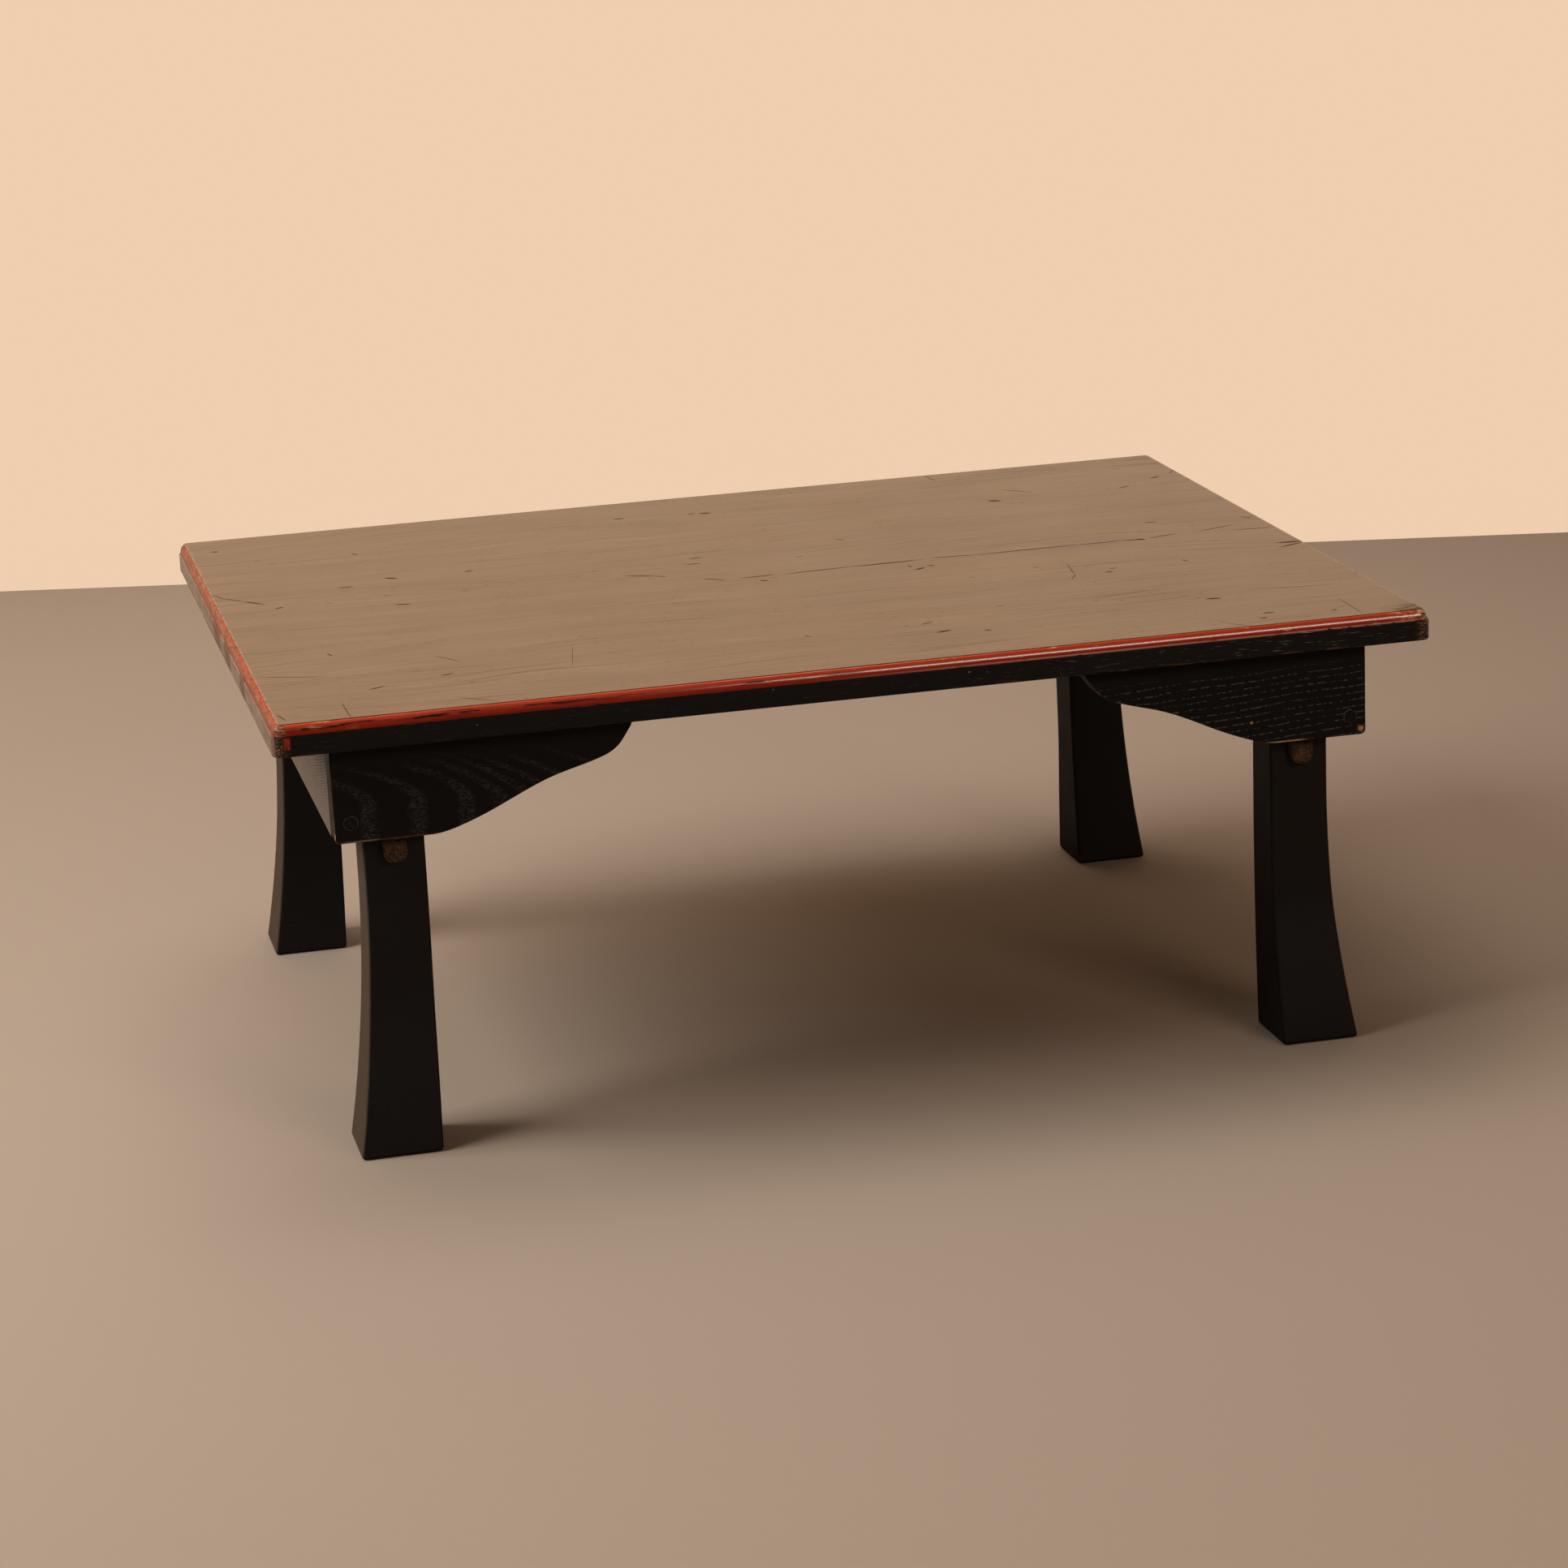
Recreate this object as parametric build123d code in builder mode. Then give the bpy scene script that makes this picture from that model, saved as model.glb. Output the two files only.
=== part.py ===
from build123d import *
import os

os.makedirs("parts", exist_ok=True)

# Folding low table.  All sizes are in millimetres.  The table stands on Z = 0,
# its long side runs along X and its front faces -Y.

# ---- sizes that can be set by themselves -----------------------------------

# top
table_height = 302.0
top_length = 762.0
top_width = 579.0
top_thickness = 20.5
top_corner_radius = 7.0
ledge_width = 1.0            # flat step outside the quarter-round
moulding_width = 3.4         # reach of the quarter-round in plan
moulding_height = 6.7        # height of the quarter-round
field_rise = 0.5             # how far the flat field stands above the moulding
top_arris = 1.2              # rounding of the lower edge of the top

# ogee brackets
bracket_length = 194.0
bracket_height = 66.0
bracket_thickness = 20.0
bracket_side_setback = 24.5  # from the long edge of the top to the bracket face
bracket_end_setback = 37.0   # from the short edge of the top to the bracket end
bracket_flat_length = 60.0   # straight part of the lower edge
bracket_corner_radius = 3.5
bracket_arris = 0.8

# end rails
rail_thickness = 19.4
rail_arris = 0.8

# wedged pins that hold brackets and end rails together
pin_diameter = 9.6
pin_rise = 13.0              # pin centre above the lower edge of the bracket
pin_offset = 1.0             # pin centre inwards from the middle of the rail
pin_rail_depth = 26.0        # length of the pin inside the end rail
wedge_mouth = 1.8
wedge_tip = 0.5
wedge_depth = 15.0
wedge_turn = 22.0            # degrees from upright
pin_chamfer = 0.4            # round the end of the pin that shows

# legs
leg_width = 40.0             # along X, at the top
leg_depth = 36.0             # along Y, at the top
leg_gap = 1.2                # between a leg and the bracket beside it
fold_gap = 1.5               # folded leg to the underside of the top
crown_clearance = 0.3        # gap between the round leg top and the end rail
heel_rise = 1.0              # flat of the leg stops this far under the hinge
foot_flare_out = 16.6        # how far the foot runs out past the leg, outer side
foot_flare_in = 3.0
foot_flare_side = 11.5
foot_flare_back = 5.0
flare_height = 180.0         # where the outer curve of the leg starts
back_taper_height = 200.0
toe_clearance = 0.5          # folded leg: gap between bracket toe and the flare
side_pull_share = 0.80       # shape of the side flare, as shares of its height
foot_rise_share = 0.43
foot_reach_share = 0.60      # and of its reach
leg_arris = 2.2              # worn rounding of the leg, foot included

# hinge pins
hinge_diameter = 12.0
hinge_fit = 0.05             # radial clearance in the bracket
hinge_seat = 12.0            # length of the pin inside the bracket
hinge_end_gap = 0.5

# cross rods, flat on top and round underneath
rod_width = 15.6
rod_height = 18.8
rod_top_radius = 2.5
rod_lower_radius = 6.5
rod_bracket_gap = 1.5        # from the lower edge of the bracket to the rod
rod_end_length = 7.5         # how far the rod stands out of the leg
rod_chamfer = 1.0
groove_clearance = 1.2       # around the rod end in the bracket

# cutting tools run this far past the face that they cut
overrun = 1.0

# ogee of the bracket as (share of run, share of rise) from the straight part
ogee_shares = [
    (0.149, 0.058),
    (0.299, 0.176),
    (0.448, 0.318),
    (0.597, 0.445),
    (0.724, 0.520),
    (0.836, 0.587),
    (0.925, 0.688),
    (0.981, 0.840),
]

# ---- sizes that follow from them -------------------------------------------

underside = table_height - top_thickness
bracket_bottom = underside - bracket_height
bracket_end = top_length / 2 - bracket_end_setback
bracket_face = top_width / 2 - bracket_side_setback
bracket_back = bracket_face - bracket_thickness
bracket_toe = bracket_end - bracket_length
rail_inner = bracket_end - rail_thickness
hinge_x = rail_inner - leg_width / 2
hinge_z = underside - fold_gap - leg_width / 2
crown_radius = leg_width / 2 - crown_clearance
leg_side = bracket_back - leg_gap
leg_back = leg_side - leg_depth
side_flare_height = hinge_z - (hinge_x - bracket_toe) - toe_clearance
rod_top = bracket_bottom - rod_bracket_gap
rod_z = rod_top - rod_height / 2
rod_swing = hinge_z - rod_z
rod_end = leg_side + rod_end_length
groove_depth = rod_end - bracket_back + groove_clearance
groove_inner = hinge_z - rod_top - groove_clearance
groove_outer = groove_inner + rod_height + 2 * groove_clearance
pin_x = bracket_end - rail_thickness / 2 - pin_offset
pin_z = bracket_bottom + pin_rise
edge_height = top_thickness - field_rise - moulding_height

# planes that face the front, at the outer and inner face of the front brackets
front_face = Plane.XZ.offset(bracket_face)
front_back = Plane.XZ.offset(bracket_back)


def slab_outline(inset):
    """Rounded rectangle of the top, smaller by inset all round."""
    with BuildSketch(mode=Mode.PRIVATE) as outline:
        RectangleRounded(
            top_length - 2 * inset,
            top_width - 2 * inset,
            top_corner_radius - inset,
        )
    return outline.sketch


def rod_section(extra):
    """Section of a cross rod, larger by extra all round."""
    half = rod_width / 2 + extra
    top = rod_height / 2 + extra
    with BuildSketch(mode=Mode.PRIVATE) as section:
        Rectangle(2 * half, 2 * top)
        upper = section.vertices().group_by(Axis.Y)[-1]
        fillet(upper, radius=rod_top_radius + extra)
        lower = section.vertices().group_by(Axis.Y)[0]
        fillet(lower, radius=rod_lower_radius + extra)
    return section.sketch


# ---- top: two boards glued edge to edge ------------------------------------

field_inset = ledge_width + moulding_width
moulding_foot = underside + edge_height
moulding_top = moulding_foot + moulding_height

# everything outside the quarter-round, in section across the front edge
with BuildSketch(Plane.YZ) as moulding_waste:
    with Locations((top_width / 2 - field_inset, moulding_foot)):
        Rectangle(
            field_inset + overrun,
            moulding_height + overrun,
            align=(Align.MIN, Align.MIN),
        )
        Ellipse(moulding_width, moulding_height, mode=Mode.SUBTRACT)

with BuildSketch(Plane.XY.offset(moulding_foot)) as moulding_path:
    add(slab_outline(ledge_width))

with BuildPart() as whole_top:
    with BuildSketch(Plane.XY.offset(underside)):
        add(slab_outline(0))
    extrude(amount=edge_height)
    fillet(whole_top.edges().group_by(Axis.Z)[0], radius=top_arris)
    with BuildSketch(Plane.XY.offset(moulding_foot)):
        add(slab_outline(ledge_width))
    extrude(amount=moulding_height)
    sweep(
        sections=moulding_waste.sketch,
        path=moulding_path.sketch.faces()[0].outer_wire(),
        mode=Mode.SUBTRACT,
    )
    with BuildSketch(Plane.XY.offset(moulding_top)):
        add(slab_outline(field_inset))
    extrude(amount=field_rise)

with BuildPart() as top_board_front:
    add(whole_top.part)
    split(bisect_by=Plane.XZ, keep=Keep.TOP)

with BuildPart() as top_board_back:
    add(whole_top.part)
    split(bisect_by=Plane.XZ, keep=Keep.BOTTOM)

# ---- ogee brackets ---------------------------------------------------------

ogee_run = bracket_length - bracket_flat_length
ogee_start = -bracket_end + bracket_flat_length
ogee_points = [
    (ogee_start + run * ogee_run, bracket_bottom + rise * bracket_height)
    for run, rise in ogee_shares
]

with BuildPart() as bracket_front_left:
    with BuildSketch(front_face):
        with BuildLine():
            Polyline(
                (-bracket_toe, underside),
                (-bracket_end, underside),
                (-bracket_end, bracket_bottom),
                (ogee_start, bracket_bottom),
            )
            Spline(
                (ogee_start, bracket_bottom),
                *ogee_points,
                (-bracket_toe, underside),
                tangents=[(1, 0), (0, 1)],
            )
        make_face()
        outer_corner = vertices().group_by(Axis.X)[0].sort_by(Axis.Y)[0]
        fillet(outer_corner, radius=bracket_corner_radius)
    extrude(amount=-bracket_thickness)
    worn_edges = (
        bracket_front_left.faces()
        .sort_by(Axis.Y)[0]
        .edges()
        .filter_by(lambda edge: edge.center().Z < underside - 0.01)
    )
    fillet(worn_edges, radius=bracket_arris)
    # quarter-ring groove that the rod end swings through
    with BuildSketch(front_back):
        with Locations((-hinge_x, hinge_z)):
            Circle(groove_outer)
            Circle(groove_inner, mode=Mode.SUBTRACT)
            Rectangle(
                groove_outer,
                groove_outer,
                align=(Align.MIN, Align.MAX),
                mode=Mode.INTERSECT,
            )
        with Locations((-hinge_x, rod_z)):
            add(rod_section(groove_clearance))
        with Locations((-hinge_x + rod_swing, hinge_z)):
            add(rod_section(groove_clearance), rotation=90)
    extrude(amount=groove_depth, mode=Mode.SUBTRACT)
    # seat of the hinge pin
    with BuildSketch(front_back):
        with Locations((-hinge_x, hinge_z)):
            Circle(hinge_diameter / 2 + hinge_fit)
    extrude(amount=hinge_seat + hinge_end_gap, mode=Mode.SUBTRACT)
    # hole of the wedged pin
    with BuildSketch(front_back):
        with Locations((-pin_x, pin_z)):
            Circle(pin_diameter / 2)
    extrude(amount=bracket_thickness, mode=Mode.SUBTRACT)

with BuildPart() as bracket_front_right:
    mirror(bracket_front_left.part, about=Plane.YZ)

with BuildPart() as bracket_back_left:
    mirror(bracket_front_left.part, about=Plane.XZ)

with BuildPart() as bracket_back_right:
    mirror(bracket_back_left.part, about=Plane.YZ)

# ---- end rails -------------------------------------------------------------

with BuildPart() as end_rail_left:
    with BuildSketch(Plane.XY.offset(bracket_bottom)):
        with Locations((-bracket_end, 0)):
            Rectangle(
                rail_thickness,
                2 * bracket_back,
                align=(Align.MIN, Align.CENTER),
            )
    extrude(amount=bracket_height)
    lower_edges = (
        end_rail_left.edges().filter_by(Axis.Y).group_by(Axis.Z)[0]
    )
    fillet(lower_edges, radius=rail_arris)
    for end_plane in (front_back, Plane.XZ.offset(-bracket_back)):
        depth = -pin_rail_depth if end_plane is front_back else pin_rail_depth
        with BuildSketch(end_plane):
            with Locations((-pin_x, pin_z)):
                Circle(pin_diameter / 2)
        extrude(amount=depth, mode=Mode.SUBTRACT)

with BuildPart() as end_rail_right:
    mirror(end_rail_left.part, about=Plane.YZ)

# ---- wedged pins -----------------------------------------------------------

# the kerf and the wedge share one tapered block, set in the front left pin
pin_plane = Plane(
    origin=(-pin_x, -bracket_face, pin_z),
    x_dir=(1, 0, 0),
    z_dir=(0, -1, 0),
)
kerf_plane = Plane(
    origin=pin_plane.origin,
    x_dir=Vector(1, 0, 0).rotate(Axis.Y, -wedge_turn),
    z_dir=(0, -1, 0),
)

with BuildPart() as kerf_block:
    with BuildSketch(kerf_plane):
        Rectangle(wedge_mouth, pin_diameter + overrun)
    with BuildSketch(kerf_plane.offset(-wedge_depth)):
        Rectangle(wedge_tip, pin_diameter + overrun)
    loft()

with BuildPart() as pin_blank:
    with BuildSketch(pin_plane):
        Circle(pin_diameter / 2)
    extrude(amount=-(bracket_thickness + pin_rail_depth))
    chamfer(pin_blank.faces().sort_by(Axis.Y)[0].edges(), length=pin_chamfer)

with BuildPart() as front_left_pin:
    add(pin_blank.part)
    add(kerf_block.part, mode=Mode.SUBTRACT)

with BuildPart() as front_left_wedge:
    add(pin_blank.part)
    add(kerf_block.part, mode=Mode.INTERSECT)

with BuildPart() as rail_pins_left:
    add(front_left_pin.part)
    mirror(front_left_pin.part, about=Plane.XZ)

with BuildPart() as rail_pins_right:
    mirror(rail_pins_left.part, about=Plane.YZ)

with BuildPart() as pin_wedges_left:
    add(front_left_wedge.part)
    mirror(front_left_wedge.part, about=Plane.XZ)

with BuildPart() as pin_wedges_right:
    mirror(pin_wedges_left.part, about=Plane.YZ)

# ---- legs ------------------------------------------------------------------

outer = -hinge_x - leg_width / 2
inner = -hinge_x + leg_width / 2


def is_long_edge(edge):
    """True for the edges that run up the four corners of a leg."""
    size = edge.bounding_box().size
    return size.Z > 2 * heel_rise and size.Z > 2 * max(size.X, size.Y)


with BuildPart() as leg_front_left:
    # shape seen from the front
    with BuildSketch(Plane.XZ):
        with BuildLine():
            Line((outer - foot_flare_out, 0), (inner - foot_flare_in, 0))
            Bezier(
                (inner - foot_flare_in, 0),
                (inner, flare_height / 2),
                (inner, flare_height),
            )
            Polyline(
                (inner, flare_height),
                (inner, hinge_z - heel_rise),
                (-hinge_x + crown_radius, hinge_z),
            )
            CenterArc((-hinge_x, hinge_z), crown_radius, 0, 180)
            Polyline(
                (-hinge_x - crown_radius, hinge_z),
                (outer, hinge_z - heel_rise),
                (outer, flare_height),
            )
            Bezier(
                (outer, flare_height),
                (outer, flare_height / 2),
                (outer - foot_flare_out, 0),
            )
        make_face()
    extrude(amount=bracket_face)
    # shape seen from the side
    with BuildSketch(Plane.YZ):
        with BuildLine():
            Polyline(
                (-leg_side - foot_flare_side, 0),
                (-leg_back + foot_flare_back, 0),
                (-leg_back, back_taper_height),
                (-leg_back, underside),
                (-leg_side, underside),
                (-leg_side, side_flare_height),
            )
            Bezier(
                (-leg_side, side_flare_height),
                (-leg_side, side_flare_height * side_pull_share),
                (-leg_side - foot_flare_side * foot_reach_share, side_flare_height * foot_rise_share),
                (-leg_side - foot_flare_side, 0),
            )
        make_face()
    extrude(amount=-top_length / 2, mode=Mode.INTERSECT)
    long_edges = leg_front_left.edges().filter_by(is_long_edge)
    foot_edges = leg_front_left.faces().sort_by(Axis.Z)[0].edges()
    fillet(long_edges + foot_edges, radius=leg_arris)
    # hinge pin hole and rod mortise
    with BuildSketch(Plane.XZ):
        with Locations((-hinge_x, hinge_z)):
            Circle(hinge_diameter / 2)
        with Locations((-hinge_x, rod_z)):
            add(rod_section(0))
    extrude(amount=bracket_face, mode=Mode.SUBTRACT)

with BuildPart() as leg_front_right:
    mirror(leg_front_left.part, about=Plane.YZ)

with BuildPart() as leg_back_left:
    mirror(leg_front_left.part, about=Plane.XZ)

with BuildPart() as leg_back_right:
    mirror(leg_back_left.part, about=Plane.YZ)

# ---- hinge pins ------------------------------------------------------------

with BuildPart() as hinge_pins_left:
    with BuildSketch(Plane.XZ.offset(leg_back)):
        with Locations((-hinge_x, hinge_z)):
            Circle(hinge_diameter / 2)
    extrude(amount=leg_depth + leg_gap + hinge_seat)
    mirror(hinge_pins_left.part, about=Plane.XZ)

with BuildPart() as hinge_pins_right:
    mirror(hinge_pins_left.part, about=Plane.YZ)

# ---- cross rods ------------------------------------------------------------

with BuildPart() as cross_rod_left:
    with BuildSketch(Plane.XZ):
        with Locations((-hinge_x, rod_z)):
            add(rod_section(0))
    extrude(amount=rod_end, both=True)
    ends = cross_rod_left.faces().filter_by(Axis.Y).edges()
    chamfer(ends, length=rod_chamfer)

with BuildPart() as cross_rod_right:
    mirror(cross_rod_left.part, about=Plane.YZ)

# ---- names and files -------------------------------------------------------

nodes = {
    "top_board_front": top_board_front,
    "top_board_back": top_board_back,
    "bracket_front_left": bracket_front_left,
    "bracket_front_right": bracket_front_right,
    "bracket_back_left": bracket_back_left,
    "bracket_back_right": bracket_back_right,
    "end_rail_left": end_rail_left,
    "end_rail_right": end_rail_right,
    "rail_pins_left": rail_pins_left,
    "rail_pins_right": rail_pins_right,
    "pin_wedges_left": pin_wedges_left,
    "pin_wedges_right": pin_wedges_right,
    "leg_front_left": leg_front_left,
    "leg_front_right": leg_front_right,
    "leg_back_left": leg_back_left,
    "leg_back_right": leg_back_right,
    "hinge_pins_left": hinge_pins_left,
    "hinge_pins_right": hinge_pins_right,
    "cross_rod_left": cross_rod_left,
    "cross_rod_right": cross_rod_right,
}

for label, node in nodes.items():
    node.part.label = label
    export_step(node.part, f"parts/{label}.step")
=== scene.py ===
"""Lacquer finishes, whittled rods, studio and camera for a folding low table."""

import logging
import math
from dataclasses import dataclass, field
from enum import Enum
from functools import reduce
from typing import Any, Callable

import bmesh
import bpy
from mathutils import Matrix, Vector


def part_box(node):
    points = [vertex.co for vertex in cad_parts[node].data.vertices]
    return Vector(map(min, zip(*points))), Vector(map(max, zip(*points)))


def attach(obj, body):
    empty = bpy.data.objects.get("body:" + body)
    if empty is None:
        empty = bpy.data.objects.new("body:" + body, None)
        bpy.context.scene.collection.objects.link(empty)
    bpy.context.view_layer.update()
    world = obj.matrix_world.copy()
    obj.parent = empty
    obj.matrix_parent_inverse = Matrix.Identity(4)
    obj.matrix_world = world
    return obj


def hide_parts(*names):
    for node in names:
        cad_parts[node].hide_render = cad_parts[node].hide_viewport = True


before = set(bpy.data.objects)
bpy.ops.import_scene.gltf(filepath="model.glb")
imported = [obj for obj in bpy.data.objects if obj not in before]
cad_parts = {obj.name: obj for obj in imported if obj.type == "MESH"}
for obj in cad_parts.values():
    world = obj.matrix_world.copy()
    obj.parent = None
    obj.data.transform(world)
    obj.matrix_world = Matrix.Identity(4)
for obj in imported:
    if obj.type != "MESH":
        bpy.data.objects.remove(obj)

log = logging.getLogger("low_table")

Triple = tuple[float, float, float]
Colour = Triple

MM = 0.001


class Figure(Enum):
    """How the grain runs over the face of a bracket."""

    FLAME = "flame"
    ROWS = "rows"


# ---- node maths --------------------------------------------------------------


class Wire:
    """A number socket of a material that takes part in Python arithmetic."""

    def __init__(self, bench: "Bench", socket: bpy.types.NodeSocket) -> None:
        """Keep the socket and the bench that its node stands on."""
        self.bench = bench
        self.socket = socket

    def maths(self, operation: str, *numbers: Any) -> "Wire":
        """Work out one Math node on wires or numbers, in the order of its sockets."""
        inputs = dict(enumerate(numbers))
        return self.bench.node("ShaderNodeMath", {"operation": operation}, inputs)

    def __add__(self, other: Any) -> "Wire":
        """Add a number or wire."""
        return self.maths("ADD", self, other)

    __radd__ = __add__

    def __sub__(self, other: Any) -> "Wire":
        """Take a number or wire away."""
        return self.maths("SUBTRACT", self, other)

    def __rsub__(self, other: Any) -> "Wire":
        """Take this wire away from a number."""
        return self.maths("SUBTRACT", other, self)

    def __mul__(self, other: Any) -> "Wire":
        """Multiply by a number or wire."""
        return self.maths("MULTIPLY", self, other)

    __rmul__ = __mul__

    def __truediv__(self, other: Any) -> "Wire":
        """Divide by a number or wire."""
        return self.maths("DIVIDE", self, other)

    def __pow__(self, other: Any) -> "Wire":
        """Raise to a power."""
        return self.maths("POWER", self, other)

    def __abs__(self) -> "Wire":
        """Drop the sign."""
        return self.maths("ABSOLUTE", self)

    def least(self, other: Any) -> "Wire":
        """Give the smaller of two."""
        return self.maths("MINIMUM", self, other)

    def most(self, other: Any) -> "Wire":
        """Give the larger of two."""
        return self.maths("MAXIMUM", self, other)

    def sine(self) -> "Wire":
        """Give the sine of an angle in radians."""
        return self.maths("SINE", self)

    def rise(self, low: float, high: float) -> "Wire":
        """Go smoothly from 0 at low to 1 at high.

        Args:
            low: where the result is 0.
            high: where the result is 1, which may lie under low.

        Returns:
            The wire of the smooth step.
        """
        settings = {"interpolation_type": "SMOOTHSTEP"}
        first, last = sorted((low, high))
        ends = {"Value": self, "From Min": first, "From Max": last}
        step = self.bench.node("ShaderNodeMapRange", settings, ends)
        return step if low < high else 1 - step

    def band(self, low: float, high: float, edge: float) -> "Wire":
        """Give 1 between low and high, with soft edges that lie inside."""
        return self.rise(low, low + edge) * self.rise(high, high - edge)


class Bench:
    """The node tree of one material, and the tools that fill it."""

    def __init__(self, name: str) -> None:
        """Start an empty material.

        Args:
            name: name of the material.
        """
        self.material = bpy.data.materials.new(name)
        self.material.use_nodes = True
        self.tree = self.material.node_tree
        self.tree.nodes.clear()
        scale = {0: self.node("ShaderNodeTexCoord", output="Object"), "Scale": 1 / MM}
        self.mm = self.node("ShaderNodeVectorMath", {"operation": "SCALE"}, scale)
        self.x, self.y, self.z = self.split(self.mm)

    def node(
        self,
        kind: str,
        settings: dict[str, Any] | None = None,
        inputs: dict[Any, Any] | None = None,
        output: Any = 0,
    ) -> Wire | None:
        """Add one node.

        Args:
            kind: Blender's name of the node type.
            settings: its properties.
            inputs: values or wires by socket name or number.
            output: name or number of the socket to give back.

        Returns:
            The wire of that output, or None from a node that has none.
        """
        made = self.tree.nodes.new(kind)
        for key, value in (settings or {}).items():
            setattr(made, key, value)
        for key, value in (inputs or {}).items():
            if isinstance(value, Wire):
                self.tree.links.new(value.socket, made.inputs[key])
            else:
                made.inputs[key].default_value = value
        return Wire(self, made.outputs[output]) if made.outputs else None

    def vector(self, operation: str, *values: Any, output: Any = 0) -> Wire:
        """Work out one Vector Math node.

        Args:
            operation: name of the node's operation.
            values: wires or vectors, in the order of its sockets.
            output: name or number of the socket to give back.

        Returns:
            The wire of the result.
        """
        settings = {"operation": operation}
        inputs = dict(enumerate(values))
        return self.node("ShaderNodeVectorMath", settings, inputs, output)

    def split(self, vector: Wire) -> tuple[Wire, Wire, Wire]:
        """Take a vector apart.

        Args:
            vector: wire of the vector.

        Returns:
            The wires of its X, Y and Z.
        """
        parts = self.node("ShaderNodeSeparateXYZ", None, {0: vector})
        outputs = parts.socket.node.outputs
        return tuple(Wire(self, outputs[axis]) for axis in range(3))

    def join(self, x: Any, y: Any, z: Any) -> Wire:
        """Make a vector from three numbers."""
        return self.node("ShaderNodeCombineXYZ", None, {0: x, 1: y, 2: z})

    def normal(self) -> Wire:
        """Give the direction that the surface faces."""
        return self.node("ShaderNodeTexCoord", output="Normal")

    def facing(self) -> tuple[Wire, Wire, Wire]:
        """Give how far the surface faces X, Y and Z, without sign."""
        return self.split(self.vector("ABSOLUTE", self.normal()))

    def stretched(self, cell: Triple, at: Any = None) -> Wire:
        """Divide a place in mm, or else the surface point, by the sides of a cell."""
        return self.vector("MULTIPLY", at or self.mm, tuple(1 / side for side in cell))

    def noise(
        self, cell: Triple, detail: float, rough: float, seed: float, at: Any = None
    ) -> Wire:
        """Give cloudy noise from 0 to 1.

        Args:
            cell: length of one cloud along X, Y and Z in mm.
            detail: number of finer layers.
            rough: strength of the finer layers.
            seed: picks another pattern.
            at: place to use instead of the surface point, in mm.

        Returns:
            The wire of the noise.
        """
        inputs = {
            "Vector": self.stretched(cell, at),
            "W": seed,
            "Scale": 1.0,
            "Detail": detail,
            "Roughness": rough,
        }
        return self.node("ShaderNodeTexNoise", {"noise_dimensions": "4D"}, inputs)

    def specks(self, cell: Triple, size: float, seed: float) -> Wire:
        """Give small spots, one at most in each cell.

        Args:
            cell: spacing of the spots along X, Y and Z in mm.
            size: radius of a spot as a share of the cell.
            seed: picks another pattern.

        Returns:
            The wire of the spots, 1 inside them.
        """
        inputs = {"Vector": self.stretched(cell), "W": seed, "Scale": 1.0}
        gap = self.node("ShaderNodeTexVoronoi", {"voronoi_dimensions": "4D"}, inputs)
        return gap.rise(size, size * 0.5)

    def warped(self, cell: Triple, reach: float, seed: float) -> Wire:
        """Shift the place about, so that what is drawn there has uneven edges.

        Args:
            cell: length over which the shift changes, in mm.
            reach: size of the shift in mm.
            seed: picks another pattern.

        Returns:
            The wire of the shifted place in mm.
        """
        settings = {"noise_dimensions": "4D"}
        inputs = {
            "Vector": self.stretched(cell),
            "W": seed,
            "Scale": 1.0,
            "Detail": 2.0,
        }
        clouds = self.node("ShaderNodeTexNoise", settings, inputs, "Color")
        shift = self.vector("SUBTRACT", clouds, (0.5, 0.5, 0.5))
        return self.vector("MULTIPLY_ADD", shift, (reach,) * 3, self.mm)

    def marks(self, strokes: list["Stroke"], at: Wire) -> Wire:
        """Draw flat strokes on a face.

        Args:
            strokes: the strokes to draw.
            at: place to draw by, in mm.

        Returns:
            The wire that is 1 inside the strokes.
        """
        gaps = []
        for stroke in strokes:
            inputs = {0: at, 1: stroke.middle, 2: stroke.turn, 3: stroke.half}
            flat = self.node("ShaderNodeMapping", {"vector_type": "TEXTURE"}, inputs)
            gaps.append(self.vector("LENGTH", flat, output="Value"))
        return reduce(Wire.least, gaps).rise(1.3, 0.7)

    def furrows(self, level: Wire, pitch: float, low: float) -> Wire:
        """Give rows at one pitch in mm, narrower where low is nearer to 1."""
        return (level * (math.tau / pitch)).sine().rise(low, 0.97)

    def choose(self, share: Wire, first: Any, second: Any) -> Wire:
        """Blend two numbers by a share from 0 to 1."""
        inputs = {0: share, 2: first, 3: second}
        return self.node("ShaderNodeMix", {"data_type": "FLOAT"}, inputs)

    def mix(self, share: Any, first: Any, second: Any) -> Wire:
        """Blend two colours.

        Args:
            share: how much of the second shows, from 0 to 1.
            first: colour or wire.
            second: colour or wire.

        Returns:
            The wire of the blend.
        """
        first = first if isinstance(first, Wire) else (*first, 1)
        second = second if isinstance(second, Wire) else (*second, 1)
        inputs = {0: share, 6: first, 7: second}
        return self.node("ShaderNodeMix", {"data_type": "RGBA"}, inputs, output=2)

    def layered(self, colour: Any, *layers: tuple[Any, Any]) -> Wire:
        """Lay colours over one another.

        Args:
            colour: the lowest colour.
            layers: share and colour of each layer, from the lowest up.

        Returns:
            The wire of what shows.
        """
        for share, above in layers:
            colour = self.mix(share, colour, above)
        return colour

    def bump(self, height: Wire, reach: float) -> Wire:
        """Turn a height from 0 to 1 into a direction, where 1 stands reach mm high."""
        inputs = {"Height": height, "Distance": reach * MM, "Strength": 1.0}
        return self.node("ShaderNodeBump", None, inputs)

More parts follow.
